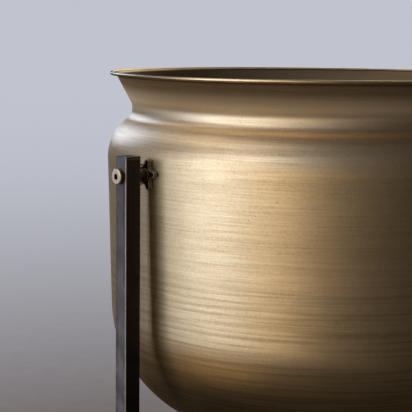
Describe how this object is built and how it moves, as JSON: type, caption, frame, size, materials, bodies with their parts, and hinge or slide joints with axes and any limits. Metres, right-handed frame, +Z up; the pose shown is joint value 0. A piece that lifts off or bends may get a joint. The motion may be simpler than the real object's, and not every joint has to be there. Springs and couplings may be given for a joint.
{
  "type": "planter pot on legs",
  "caption": "Round spun-metal planter pot with a flared, rolled rim, bolted between slim square legs that a star-shaped brace joins below.",
  "frame": {"origin": "middle of the pot's flat inner floor, on the pot's axis", "axes": "+Z up along the pot's axis; -Y is the front, with two legs at the front and leg 3 at the back on +Y"},
  "size_m": [0.4086, 0.4313, 0.6016],
  "materials": {
    "aged_brass": "aged satin brass with fine turned lines",
    "dark_steel": "gunmetal grey lacquer, satin",
    "brass_fastener": "brass-plated, lightly tarnished",
    "plated_steel": "zinc-plated",
    "black_screw": "black oxide",
    "pad_rubber": "matt",
    "foot_plastic": "matt moulded"
  },
  "bodies": {
    "planter": {"pot_shell": "aged_brass", "leg_1": "dark_steel", "leg_2": "dark_steel", "leg_3": "dark_steel", "leg_cap_1": "dark_steel", "leg_cap_2": "dark_steel", "leg_cap_3": "dark_steel", "leg_foot_1": "foot_plastic", "leg_foot_2": "foot_plastic", "leg_foot_3": "foot_plastic", "pot_bolt_1": "brass_fastener", "pot_bolt_2": "brass_fastener", "pot_bolt_3": "brass_fastener", "wall_pad_1": "pad_rubber", "wall_pad_2": "pad_rubber", "wall_pad_3": "pad_rubber", "inner_washer_1": "plated_steel", "inner_washer_2": "plated_steel", "inner_washer_3": "plated_steel", "cap_nut_1": "brass_fastener", "cap_nut_2": "brass_fastener", "cap_nut_3": "brass_fastener", "brace_arm_1": "dark_steel", "brace_arm_2": "dark_steel", "brace_arm_3": "dark_steel", "arm_plug_1": "plated_steel", "arm_plug_2": "plated_steel", "arm_plug_3": "plated_steel", "brace_bolt_1": "brass_fastener", "brace_bolt_2": "brass_fastener", "brace_bolt_3": "brass_fastener", "brace_hub": "dark_steel", "hub_screws": "black_screw"},
    "star_nut_1": {"star_nut_1": "brass_fastener"},
    "star_nut_2": {"star_nut_2": "brass_fastener"},
    "star_nut_3": {"star_nut_3": "brass_fastener"}
  },
  "joints": [
    {"name": "star_nut_1_turn", "type": "hinge", "parent": "planter", "child": "star_nut_1", "pos_m": [-0.17753, -0.1025, 0.2423], "axis": [-0.866, -0.5, 0], "continuous": true},
    {"name": "star_nut_2_turn", "type": "hinge", "parent": "planter", "child": "star_nut_2", "pos_m": [0.17753, -0.1025, 0.2423], "axis": [0.866, -0.5, 0], "continuous": true},
    {"name": "star_nut_3_turn", "type": "hinge", "parent": "planter", "child": "star_nut_3", "pos_m": [0, 0.205, 0.2423], "axis": [0, 1, 0], "continuous": true}
  ]
}
